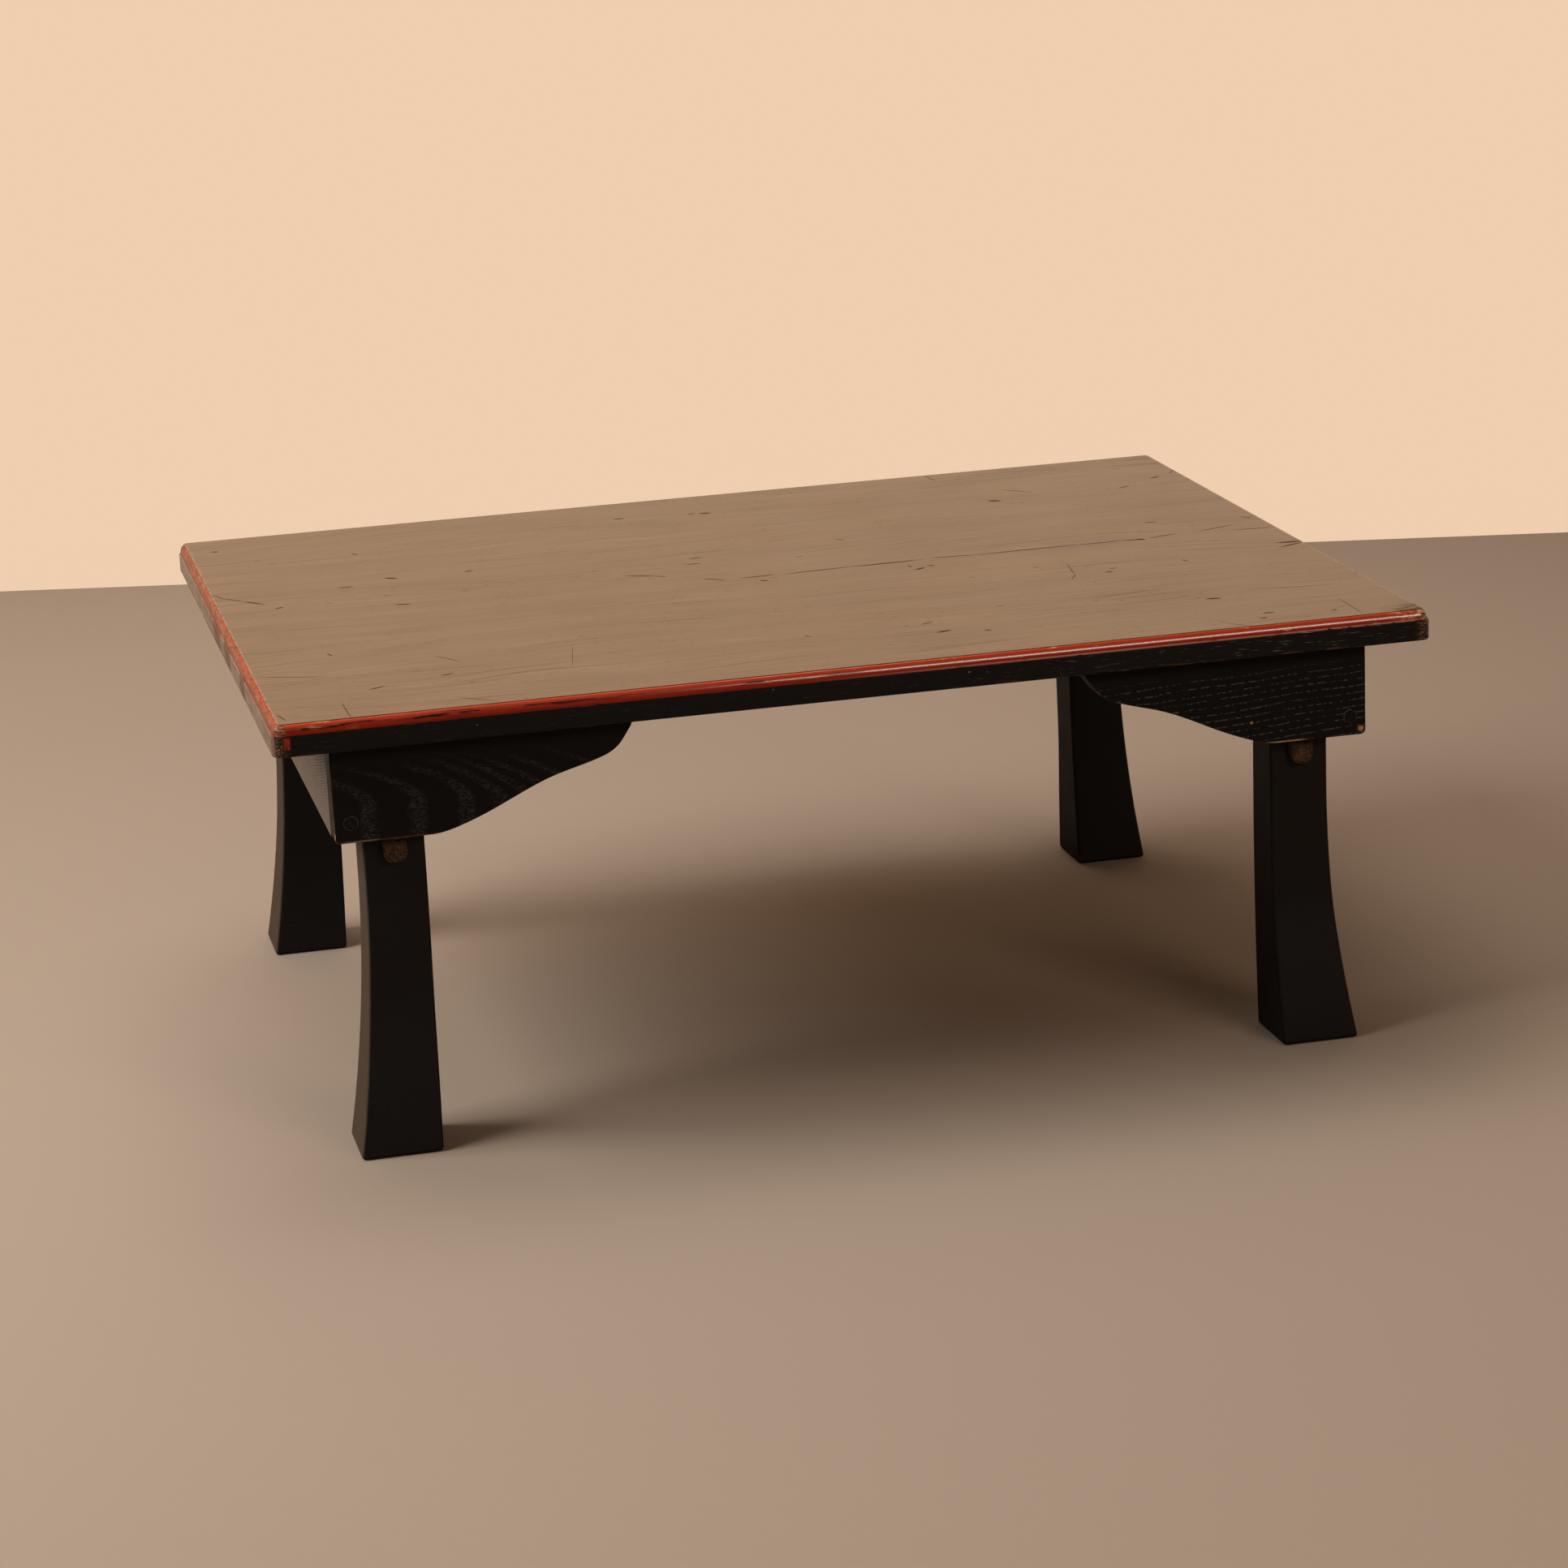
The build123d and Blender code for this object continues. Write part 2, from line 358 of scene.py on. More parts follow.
    def coat(
        self, colour: Any, roughness: Any, normal: Any = None, gloss: float = 0.5
    ) -> Wire:
        """Add one surface shader.

        Args:
            colour: colour or wire.
            roughness: number or wire.
            normal: wire of a bumped normal.
            gloss: strength of the reflection that faces the eye.

        Returns:
            The wire of the shader.
        """
        inputs = {
            "Base Color": colour if isinstance(colour, Wire) else (*colour, 1),
            "Roughness": roughness,
            "Specular IOR Level": gloss,
        }
        if normal is not None:
            inputs["Normal"] = normal
        return self.node("ShaderNodeBsdfPrincipled", None, inputs)

    def over(self, share: Any, below: Wire, above: Wire) -> Wire:
        """Lay one shader over another where share is 1."""
        return self.node("ShaderNodeMixShader", None, {0: share, 1: below, 2: above})

    def finish(self, shader: Wire) -> bpy.types.Material:
        """Join the shader to the output and give the material."""
        self.node("ShaderNodeOutputMaterial", None, {0: shader})
        return self.material


@dataclass(frozen=True)
class Stroke:
    """A thin mark on a flat face, in mm."""

    start: Triple
    end: Triple
    width: float

    @property
    def middle(self) -> tuple[float, ...]:
        """Give the middle of the stroke."""
        return tuple((a + b) / 2 for a, b in zip(self.start, self.end))

    @property
    def turn(self) -> Triple:
        """Give the turn of the stroke about Z."""
        run = self.end[0] - self.start[0]
        return (0.0, 0.0, math.atan2(self.end[1] - self.start[1], run))

    @property
    def half(self) -> Triple:
        """Give half the size of the stroke, without limit in depth."""
        length = math.dist(self.start, self.end)
        return (length / 2 + self.width / 2, self.width / 2, 1e6)


# ---- finishes ----------------------------------------------------------------

# The crack, the dents and the scratches of the top in mm: X and Y of both ends, and
# the width.
DENTS = (
    (-375, 96, -368, 83, 1.2),
    (-374, -260, -370, -276, 1.0),
    (-374, -157, -335, -172, 1.3),
    (-368, 83, -356, 68, 1.6),
    (-359, 245, -357, 244, 3.3),
    (-356, 68, -345, 55, 2.5),
    (-337, 38, -334, 39, 2.9),
    (-331, -247, -331, -286, 0.7),
    (-322, -111, -320, -117, 1.3),
    (-309, -219, -300, -214, 2.3),
    (-287, 84, -279, 84, 2.6),
    (-263, 193, -260, 189, 1.9),
    (-260, -201, -253, -198, 2.1),
    (-259, -262, -237, -283, 1.0),
    (-257, -145, -242, -169, 0.9),
    (-257, 14, -249, 12, 3.0),
    (-251, 101, -246, 97, 3.6),
    (-195, 97, -191, 99, 2.4),
    (-166, -153, -177, -212, 0.35),
    (-91, 35, -73, 26, 2.5),
    (-73, 26, -66, 21, 1.7),
    (-60, 229, -54, 229, 2.7),
    (-43, 53, -35, 52, 2.4),
    (-42, 2, -31, -7, 2.3),
    (-37, 71, -30, 71, 2.4),
    (-18, -191, -15, -196, 1.4),
    (-17, -6, 5, -6, 2.3),
    (-6, -20, -3, -22, 2.5),
    (-6, 221, -1, 224, 1.9),
    (5, 221, 9, 220, 4.2),
    (11, -7, 62, -4, 2.2),
    (62, -192, 69, -189, 1.8),
    (62, -4, 112, -3, 2.8),
    (66, -218, 73, -216, 3.6),
    (75, 88, 79, 85, 1.9),
    (96, -225, 98, -226, 2.7),
    (100, -18, 101, -23, 1.5),
    (103, -32, 108, -29, 3.0),
    (114, -23, 116, -25, 2.2),
    (122, -1, 152, -4, 2.1),
    (152, -4, 234, -3, 2.3),
    (196, 282, 198, 262, 1.0),
    (198, -95, 192, -107, 0.7),
    (203, -59, 198, -95, 0.7),
    (216, 170, 220, 168, 5.0),
    (221, -95, 224, -95, 2.5),
    (226, -87, 230, -86, 1.8),
    (233, -4, 263, -4, 2.3),
    (235, 205, 252, 188, 1.3),
    (244, -269, 259, -287, 0.9),
    (258, -201, 265, -202, 3.8),
    (263, -4, 274, -6, 2.7),
    (271, -267, 274, -267, 2.6),
    (274, -5, 276, -6, 4.3),
    (278, -255, 283, -255, 2.6),
    (281, -82, 283, -86, 1.6),
    (283, -4, 304, 2, 1.8),
    (297, 47, 303, 44, 1.9),
    (318, 173, 326, 177, 1.9),
    (321, -266, 324, -265, 2.0),
    (322, 3, 350, 12, 1.6),
    (337, -233, 336, -282, 0.7),
    (346, -4, 372, -8, 1.6),
    (352, 198, 358, 201, 2.5),
    (357, -71, 374, -64, 2.7),
    (360, -58, 376, -59, 4.1),
    (366, 36, 371, 30, 1.4),
    (369, 209, 376, 218, 0.9),
)


@dataclass(frozen=True)
class TopLacquer:
    """Dark lacquer on the top, a vermilion moulding and a black edge.

    Lengths are in mm. The moulding stands between ledge_z and the flat field_z, and
    the boards' underside is at lower_z. end_patches are the stretches of the darker
    patches along an end face.
    """

    brown: Colour = (0.138, 0.064, 0.019)
    deep: Colour = (0.050, 0.022, 0.008)
    vermilion: Colour = (0.26, 0.014, 0.003)
    orange: Colour = (0.34, 0.030, 0.006)
    rusty: Colour = (0.22, 0.036, 0.011)
    faded: Colour = (0.31, 0.108, 0.046)
    ochre: Colour = (0.36, 0.16, 0.05)
    pink: Colour = (0.52, 0.20, 0.14)
    black: Colour = (0.0050, 0.0036, 0.0028)
    bare: Colour = (0.10, 0.036, 0.018)
    worn: Colour = (0.21, 0.145, 0.10)
    pale: Colour = (0.52, 0.30, 0.17)
    dust: Colour = (0.45, 0.40, 0.35)
    half_length: float = 381.0
    half_width: float = 289.5
    ledge_z: float = 294.8
    field_z: float = 301.6
    lower_z: float = 281.5
    end_patches: tuple[tuple[float, float], ...] = ((0, 45), (-62, -24), (-146, -118))

    def material(self) -> bpy.types.Material:
        """Make the material of both boards of the top.

        Returns:
            The material.
        """
        b = Bench("top_lacquer")
        ragged = b.noise((7, 7, 3), 4, 0.65, 11.0)
        frayed = 0.9 * b.x.rise(60, 260) + 0.6
        notch = frayed * (0.42 - ragged).most(0) * 7
        red = (b.z - notch).rise(self.ledge_z + 0.1, self.ledge_z + 0.4)
        scratched = b.noise((30, 30, 0.5), 3, 0.6, 13.0)
        edge = b.coat(self.edge(b), 0.42, b.bump(scratched, 0.05), gloss=0.2)
        rim = self.moulding(b, 0.13 + 0.07 * ragged, b.bump(scratched, 0.002))
        level = b.z.rise(self.field_z - 0.1, self.field_z)
        top = self.flat(b, ragged.rise(0.42, 0.54))
        return b.finish(b.over(level, b.over(red, edge, rim), top))

    def near_ends(self, b: Bench, start: float, full: float) -> Wire:
        """Go from 0 to 1 between two distances in mm from the short sides."""
        return abs(b.x).rise(self.half_length - start, self.half_length - full)

    def near_sides(self, b: Bench, start: float, full: float) -> Wire:
        """Go from 0 to 1 between two distances in mm from the long sides."""
        return abs(b.y).rise(self.half_width - start, self.half_width - full)

    def corner(self, b: Bench) -> Wire:
        """Give 1 at the four corners of the top."""
        return self.near_ends(b, 13, 4) * self.near_sides(b, 13.5, 5.5)

    def knocked(self, b: Bench) -> Wire:
        """Give 1 at the front right corner, which is knocked most."""
        return b.x.rise(348, 368) * b.y.rise(-274, -284)

    def flat(self, b: Bench, frayed: Wire) -> Wire:
        """Give the flat of the top with its grain, pores, dents and dust.

        Args:
            b: bench of the material.
            frayed: share of the brim that is rubbed.

        Returns:
            The wire of the shader.
        """
        drift = b.noise((330, 120, 60), 2, 0.5, 1.0) * 90
        place = b.join(b.x, b.y + drift, b.z)
        lines = self.lines(b, place)
        grain = self.grain(b, place)
        shade = (grain - 0.15 * lines).most(0)
        brown = b.layered(
            self.deep,
            (shade, self.brown),
            (b.specks((17, 17, 17), 0.03, 12.0), self.dust),
            (self.near_ends(b, 5.8, 5.3) * frayed * 0.8, self.faded),
        )
        smudge = b.noise((90, 60, 60), 2, 0.5, 3.0)
        lacquer = b.coat(brown, 0.20 + 0.14 * smudge, b.bump(grain, 0.012))
        dry = b.coat(self.deep, 0.9, gloss=0.0)
        sunken = 0.22 * lines + 0.08 - 0.08 * grain
        return b.over((self.pores(b, place) * 0.9).most(sunken), lacquer, dry)

    def grain(self, b: Bench, place: Wire) -> Wire:
        """Give fine lines that run along the boards in slow curves.

        Args:
            b: bench of the material.
            place: place to draw by, in mm.

        Returns:
            The wire of the grain, 1 where it is light.
        """
        fine = b.noise((110, 2.4, 60), 2, 0.6, 2.0, place)
        broad = b.noise((300, 26, 60), 2, 0.5, 6.0, place)
        return (0.69 + 1.6 * (fine - 0.5) + 0.6 * (broad - 0.5)).least(1).most(0)

    def lines(self, b: Bench, place: Wire) -> Wire:
        """Give thin dark lines of the grain, stronger in some places.

        Args:
            b: bench of the material.
            place: place to draw by, in mm.

        Returns:
            The wire of the lines.
        """
        thin = b.noise((150, 3.4, 60), 1, 0.5, 21.0, place).rise(0.60, 0.68)
        patch = b.noise((170, 50, 60), 2, 0.5, 22.0).rise(0.40, 0.60)
        return thin * (0.35 + 0.65 * patch)

    def pores(self, b: Bench, place: Wire) -> Wire:
        """Give short dark pores along the grain, the crack and the dents.

        Args:
            b: bench of the material.
            place: place to draw the pores by, in mm.

        Returns:
            The wire of all that is dark and dry.
        """
        dashes = b.noise((8, 1.5, 16), 1, 0.5, 4.0, place).rise(0.665, 0.725)
        patch = b.noise((120, 34, 60), 2, 0.5, 5.0).rise(0.38, 0.62)
        dots = b.specks((29, 17, 29), 0.05, 23.0)
        marks = b.marks(self.dents(), b.warped((16, 16, 16), 2.0, 7.0))
        rubbed = b.noise((16, 2.4, 16), 3, 0.65, 28.0).rise(0.42, 0.54)
        rubbed = rubbed * b.x.rise(340, 376) * b.y.rise(-258, -284)
        small = (dashes * (0.2 + 0.5 * patch)).most(dots * 0.9)
        return small.most(marks).most(rubbed)

    def dents(self) -> list[Stroke]:
        """Give the crack, the dents and the scratches at the height of the top."""
        z = self.field_z
        return [Stroke((x0, y0, z), (x1, y1, z), w) for x0, y0, x1, y1, w in DENTS]

    def moulding(self, b: Bench, roughness: Wire, skin: Wire) -> Wire:
        """Give the moulding, glossy on the long sides and matt elsewhere.

        Args:
            b: bench of the material.
            roughness: roughness of the glossy part.
            skin: bumped normal of all of it.

        Returns:
            The wire of the shader.
        """
        paint = self.paint(b)
        polished = self.near_sides(b, 5.5, 4.5) * b.x.rise(-220, 0)
        matt = b.coat(paint, 0.45, skin, gloss=0.14)
        rim = b.over(polished, matt, b.coat(paint, roughness, skin))
        return b.over(self.streaks(b), rim, b.coat(self.black, 0.6, gloss=0.1))

    def paint(self, b: Bench) -> Wire:
        """Give the vermilion with its rubbed, scratched and flaked places, and painted
        light, shade and highlight across the front moulding.

        Args:
            b: bench of the material.

        Returns:
            The wire of the colour.
        """
        right = b.x.rise(-60, 120)
        left = b.x.rise(-318, -350)
        height = b.z - self.ledge_z
        faint = b.noise((14, 14, 3), 3, 0.6, 24.0).rise(0.30, 0.44)
        flaked = b.noise((12, 12, 3), 4, 0.65, 9.0)
        front = b.layered(
            self.vermilion,
            # painted light: the upper part, which faces up, is painted lighter orange
            (height.rise(3.6, 4.4), self.orange),
            # painted shade: a thin dark line just above the highlight, where a groove
            # would lie in shade
            (height.band(4.0, 4.7, 0.25) * 0.55, self.bare),
            # painted highlight: pale pink along the bottom on the right, where the
            # ledge catches the light, broken in patches
            (height.rise(1.6, 1.2) * faint * right * 0.85, self.pink),
            (flaked.rise(0.56, 0.60) * left * 0.8, self.ochre),
            (flaked.rise(0.63, 0.66) * right * 0.8, self.pale),
        )
        corner, knocked = self.corner(b), self.knocked(b)
        worn = b.noise((2.2, 2.2, 1.4), 3, 0.7, 29.0)
        scuffs = b.noise((4.5, 4.5, 0.7), 3, 0.65, 25.0).rise(0.49, 0.55)
        return b.layered(
            b.mix(self.near_sides(b, 4.5, 4.1), self.ends(b), front),
            (corner * worn.rise(0.46, 0.54) * 0.85, self.bare),
            (corner * scuffs * 0.25, self.pale),
            (corner * knocked * 0.75, self.bare),
            (knocked * scuffs * 0.85, self.pale),
            (corner * worn.rise(0.57, 0.63) * 0.8, self.black),
        )

    def streaks(self, b: Bench) -> Wire:
        """Give the black lines rubbed along the moulding, most of them on the left.

        Args:
            b: bench of the material.

        Returns:
            The wire that is 1 in the lines.
        """
        left = b.x.rise(-90, -230)
        lines = b.noise((48, 48, 0.6), 3, 0.6, 8.0).rise(0.57, 0.62)
        lines = lines * (0.08 + 0.8 * left)
        middle = (b.z - self.ledge_z).band(2.6, 4.9, 0.5)
        flakes = middle * b.noise((26, 26, 2.4), 3, 0.6, 16.0).rise(0.50, 0.56)
        where = left.most(b.x.band(-102, -50, 6)).most(b.x.band(-54, 2, 10) * 0.5)
        return self.near_sides(b, 4.5, 4.1) * lines.most(flakes * where * 0.95)

    def ends(self, b: Bench) -> Wire:
        """Give the scratched orange of the moulding on the short sides.

        Args:
            b: bench of the material.

        Returns:
            The wire of the colour.
        """
        cloud = b.noise((3, 9, 3), 4, 0.7, 17.0).rise(0.40, 0.66)
        inner = (b.z - self.ledge_z).rise(5.2, 6.2) * b.y.rise(120, -200)
        dark = b.noise((5.0, 1.9, 3.0), 4, 0.8, 18.0).rise(0.50, 0.56)
        patch = b.noise((60, 26, 60), 2, 0.6, 26.0).rise(0.34, 0.60)
        return b.layered(
            self.rusty,
            (cloud, self.faded),
            (inner * 0.7, self.orange),
            (dark * (0.55 + 0.4 * patch), self.deep),
        )

    def edge(self, b: Bench) -> Wire:
        """Give the black edge with its specks, scratches and bare arris.

        Args:
            b: bench of the material.

        Returns:
            The wire of the colour.
        """
        right = b.x.rise(-20, 260)
        scratch = b.noise((11, 11, 0.5), 2, 0.5, 14.0).rise(0.64, 0.70)
        low = b.z.rise(self.lower_z + 2.6, self.lower_z + 0.6)
        outer = self.near_ends(b, 6, 2).most(self.near_sides(b, 6, 2))
        patch = outer * b.noise((22, 22, 2), 4, 0.7, 10.0).rise(0.52, 0.62)
        spot = b.x.band(-374.2, -369.6, 0.8) * b.z.band(286.0, 294.4, 1.2)
        ragged = b.noise((2, 2, 3), 3, 0.7, 27.0).rise(0.34, 0.46)
        flaked = b.noise((1.6, 1.6, 0.9), 4, 0.7, 15.0)
        scuffs = b.noise((4.0, 4.0, 0.5), 3, 0.7, 31.0).rise(0.54, 0.58)
        corner, knocked = self.corner(b), self.knocked(b)
        return b.layered(
            self.black,
            (b.specks((9, 9, 4), 0.10, 1.0), self.dust),
            (scratch * (0.05 + 0.32 * right), self.dust),
            (low * patch * (0.25 + 0.75 * right), self.bare),
            (spot * ragged * b.y.rise(-284, -286), self.orange),
            # painted reflection: the end faces take the lighter colour of end()
            (self.near_ends(b, 2.2, 1.2), self.end(b)),
            (corner * flaked.rise(0.42, 0.54) * 0.8, self.bare),
            (corner * flaked.rise(0.57, 0.61) * 0.7, self.worn),
            (corner * flaked.rise(0.43, 0.38) * 0.9, self.black),
            (knocked * 0.7, self.black),
            (corner * knocked * scuffs * 0.6, self.pale),
        )

    def end(self, b: Bench) -> Wire:
        """Give the end face, painted lighter as a painted reflection of the bright
        surroundings, with darker slanting patches on the left.

        Args:
            b: bench of the material.

        Returns:
            The wire of the colour.
        """
        mottle = b.noise((4, 26, 5), 4, 0.65, 19.0).rise(0.34, 0.60)
        lean = b.y - (b.z - self.lower_z) * 0.5
        patches = [lean.band(low, high, 3) for low, high in self.end_patches]
        # painted reflection: mottled greyish brown over the black end face, with darker
        # slanting patches on the left
        return b.layered(
            self.bare,
            (mottle * 0.6 + 0.4, self.worn),
            (reduce(Wire.most, patches) * b.x.rise(0, -1) * 0.75, self.bare),
        )


@dataclass(frozen=True)
class BracketLacquer:
    """Black lacquer over open grain, rubbed brown along the arrises.

    Lengths are in mm. bands are the distances of the bands of a flame figure from the
    end at end_x, chipped holds X, Z and radius of each chip, and pitch is that of the
    rows.
    """

    black: Colour = (0.0040, 0.0030, 0.0025)
    pore: Colour = (0.095, 0.087, 0.078)
    bare: Colour = (0.13, 0.055, 0.018)
    pale: Colour = (0.55, 0.36, 0.20)
    end_x: float = 344.0
    bottom_z: float = 215.5
    bands: tuple[float, ...] = (22.5, 54, 85, 107, 126, 145, 172, 217)
    chipped: tuple[Triple, ...] = ((340.6, 219.6, 1.7), (264.0, 231.4, 0.9))
    pitch: float = 4.6

    def material(self, figure: Figure) -> bpy.types.Material:
        """Make the material of a bracket.

        Args:
            figure: the figure in its grain.

        Returns:
            The material.
        """
        b = Bench("bracket_lacquer_" + figure.value)
        pattern = self.flame(b) if figure is Figure.FLAME else self.rows(b)
        across = b.facing()[1]
        face = across.rise(0.9, 0.99)
        arris = across.band(0.10, 0.97, 0.1)
        rub = b.noise((14, 14, 14), 3, 0.6, 3.0)
        foot = (b.z - self.bottom_z).rise(1.6, 0.8)
        gold = (b.x.band(258, 304, 8) * 0.7).most(b.x.band(-342, -314, 6) * 0.3)
        chips = self.chips(b)
        colour = b.layered(
            self.black,
            (pattern * face * 0.55, self.pore),
            (b.specks((11, 11, 11), 0.035, 4.0), self.pore),
            (arris * rub.rise(0.40, 0.56) * 0.6, self.bare),
            (arris * rub.rise(0.62, 0.68) * 0.4, self.pale),
            (foot * rub.rise(0.44, 0.52) * 0.35, self.bare),
            (foot * gold, self.pale),
            (chips.rise(1.7, 1.3) * face * 0.7, self.bare),
            (chips.rise(1.1, 0.8) * face * 0.7, self.pale),
        )
        roughness = 0.42 + 0.2 * b.noise((20, 20, 8), 3, 0.6, 5.0)
        skin = b.bump(pattern, -0.06)
        return b.finish(b.coat(colour, roughness, skin, gloss=0.15))

    def chips(self, b: Bench) -> Wire:
        """Give the distance from the small chips as a share of their size.

        Args:
            b: bench of the material.

        Returns:
            The wire of the distance.
        """
        shift = b.noise((2.4, 2.4, 2.4), 2, 0.6, 7.0) * 3 - 1.5
        at = b.join(b.x + shift, b.y.rise(-1, 1) * 99, b.z - shift * 0.4)
        gaps = [
            b.vector("DISTANCE", at, (x, 0, z), output="Value") / radius
            for x, z, radius in self.chipped
        ]
        return reduce(Wire.least, gaps) * (0.55 + b.noise((1.5, 1.5, 1.5), 3, 0.7, 8.0))

    def rows(self, b: Bench) -> Wire:
        """Give rows of short pores that climb a little towards the end.

        Args:
            b: bench of the material.

        Returns:
            The wire of the pores.
        """
        drift = b.noise((70, 70, 14), 2, 0.5, 1.0) * 6
        level = b.z - abs(b.x) * 0.05 + drift
        row = b.furrows(level, self.pitch, 0.76)
        place = b.join(b.x, b.y, level)
        dashes = b.noise((2.7, 2.7, 1.8), 2, 0.6, 2.0, place).rise(0.49, 0.54)
        strong = b.noise((30, 30, 8), 2, 0.5, 6.0).rise(0.30, 0.60)
        # painted shadow: the pale pores die out towards the top, so the face is darker
        # under the top's overhang
        painted_shadow_fade = (b.z - self.bottom_z).rise(54, 44)
        return row * dashes * painted_shadow_fade * (0.9 + 0.6 * strong)

    def flame(self, b: Bench) -> Wire:
        """Give broad bands of wavy pores that sweep down to the lower edge.

        Args:
            b: bench of the material.

        Returns:
            The wire of the pores.
        """
        run = self.end_x - abs(b.x)
        climb = b.z - self.bottom_z
        start = 24 - 0.16 * (run - 70).most(0)
        lean = 0.18 * (climb - start).most(0) ** 1.7
        drift = b.noise((18, 18, 9), 3, 0.6, 4.0) * 7 - 3.5
        sweep = run + lean + drift
        gap = reduce(Wire.least, [abs(sweep - centre) for centre in self.bands])
        at = b.warped((3, 3, 2), 1.6, 5.0)
        waves = b.noise((2.2, 2.2, 0.6), 2, 0.6, 6.0, at).rise(0.48, 0.58)
        # painted shadow: the pale bands die out towards the top, so the face is darker
        # under the top's overhang
        return gap.rise(7.2, 2.6) * waves * climb.rise(57, 34) * 0.6


@dataclass(frozen=True)
class RailLacquer:
    """Thin black lacquer over straight grain, which slopes and has one pitch in mm; its
    colour is painted greyish brown as a painted reflection.
    """

    # painted reflection: not black but a light greyish brown, standing in for the
    # bright surroundings that the rail's faces reflect
    black: Colour = (0.098, 0.070, 0.049)
    dry: Colour = (0.012, 0.009, 0.007)
    slope: float = 0.3
    pitch: float = 2.2

    def material(self) -> bpy.types.Material:
        """Make the material of both end rails.

        Returns:
            The material.
        """
        b = Bench("rail_lacquer")
        drift = b.noise((60, 110, 60), 2, 0.5, 1.0) * 12
        level = b.z + b.y * self.slope + drift
        row = b.furrows(level, self.pitch, 0.60)
        place = b.join(b.x, b.y, level)
        dashes = b.noise((6, 16, 1.4), 2, 0.5, 2.0, place).rise(0.36, 0.50)
        pores = row * dashes * b.z.rise(222, 262)
        roughness = 0.38 + 0.2 * b.noise((25, 25, 9), 3, 0.6, 3.0)
        lacquer = b.coat(self.black, roughness, b.bump(pores, -0.08))
        return b.finish(b.over(pores * 0.75, lacquer, b.coat(self.dry, 0.9, gloss=0.0)))


@dataclass(frozen=True)
class LegLacquer:
    """Black satin lacquer with a slightly crinkled skin; the outer faces are more matt
    and painted lighter, as painted light from the side.
    """

    black: Colour = (0.0050, 0.0034, 0.0024)
    # painted light: the lighter brown of the outer faces, where light falls on them
    # from the side
    painted_side_light: Colour = (0.052, 0.034, 0.021)
    bare: Colour = (0.07, 0.035, 0.018)
    dust: Colour = (0.20, 0.16, 0.13)

    def material(self) -> bpy.types.Material:
        """Make the material of all four legs.

        Returns:
            The material.
        """
        b = Bench("leg_lacquer")
        along, across, _ = b.facing()
        corner = along.least(across).rise(0.3, 0.6)
        outward = b.split(b.normal())[0] * b.x
        rub = b.noise((9, 9, 22), 3, 0.6, 3.0).rise(0.56, 0.64)
        colour = b.layered(
            self.black,
            # painted light: the outer faces take the lighter brown
            (outward.rise(150, 250), self.painted_side_light),
            (corner * rub * 0.5, self.bare),
            (b.specks((8, 8, 8), 0.05, 4.0), self.dust),
        )
        crinkle = b.noise((1.6, 1.6, 2.4), 3, 0.6, 1.0)
        streaks = b.noise((1.2, 1.2, 40), 2, 0.6, 2.0)
        skin = b.bump(crinkle * 0.6 + streaks * 0.4, 0.14)
        roughness = 0.38 + 0.2 * b.noise((30, 30, 30), 3, 0.6, 5.0)
        lacquer = b.coat(colour, roughness, skin, gloss=0.22)
        shaded = b.coat(colour, 0.7, skin, gloss=0.0)
        return b.finish(b.over(abs(outward).rise(150, 250) * 0.45, lacquer, shaded))


@dataclass(frozen=True)
class PinLacquer:
    """Black lacquer on the end of a wedged pin, rubbed round its rim."""

    black: Colour = (0.006, 0.0045, 0.0038)
    rim: Colour = (0.17, 0.145, 0.12)

    def material(self) -> bpy.types.Material:
        """Make the material of the four pins.

        Returns:
            The material.
        """
        b = Bench("pin_lacquer")
        rim = b.facing()[1].band(0.3, 0.95, 0.15)
        cloud = b.noise((2, 2, 2), 3, 0.6, 1.0)
        colour = b.mix(rim * cloud.rise(0.2, 0.6), self.black, self.rim)
        return b.finish(b.coat(colour, 0.45, b.bump(cloud, 0.1), gloss=0.15))


@dataclass(frozen=True)
class PlainWood:
    """Bare or oiled wood for small turned and whittled pieces.

    Its ends are rough and speckled; above a given height in mm, where one is given,
    they take one even, darker tone, painted shade where something above shades them.
    """

    name: str
    light: Colour
    dark: Colour
    roughness: float
    painted_shade_above: float | None = None

    def material(self) -> bpy.types.Material:
        """Make the material, with grain along Y.

        Returns:
            The material.
        """
        b = Bench(self.name)
        fibre = b.noise((0.8, 26, 0.8), 3, 0.6, 1.0)
        cloud = b.noise((7, 36, 7), 3, 0.6, 2.0)
        end = b.facing()[1].rise(0.6, 0.95)
        cut = b.noise((1.4, 3, 0.9), 3, 0.7, 3.0)
        share = b.choose(end, 0.6 * fibre + 0.6 * cloud, 0.4 * cloud + 0.8 * cut)
        share = share.rise(0.52, 0.68)
        # painted shade: the top of each end face takes one even, darker tone
        if self.painted_shade_above is not None:
            smooth = end * b.z.rise(self.painted_shade_above - 2, self.painted_shade_above + 2)
            share = b.choose(smooth, share, 0.3)
        colour = b.mix(share, self.dark, self.light)
        skin = b.bump(fibre + cut * end, 0.3)
        return b.finish(b.coat(colour, self.roughness, skin, gloss=0.2))


BARE_WOOD = PlainWood(
    name="bare_wood",
    light=(0.105, 0.052, 0.021),
    dark=(0.016, 0.009, 0.006),
    roughness=0.75,
    # painted shade: the tops of the rod ends lie in the brackets' shadow
    painted_shade_above=207.0,
)
HINGE_WOOD = PlainWood("hinge_wood", (0.16, 0.10, 0.06), (0.07, 0.04, 0.025), 0.6)
WEDGE_WOOD = PlainWood("wedge_wood", (0.012, 0.009, 0.007), (0.004, 0.003, 0.003), 0.7)


# ---- sub-assemblies ----------------------------------------------------------


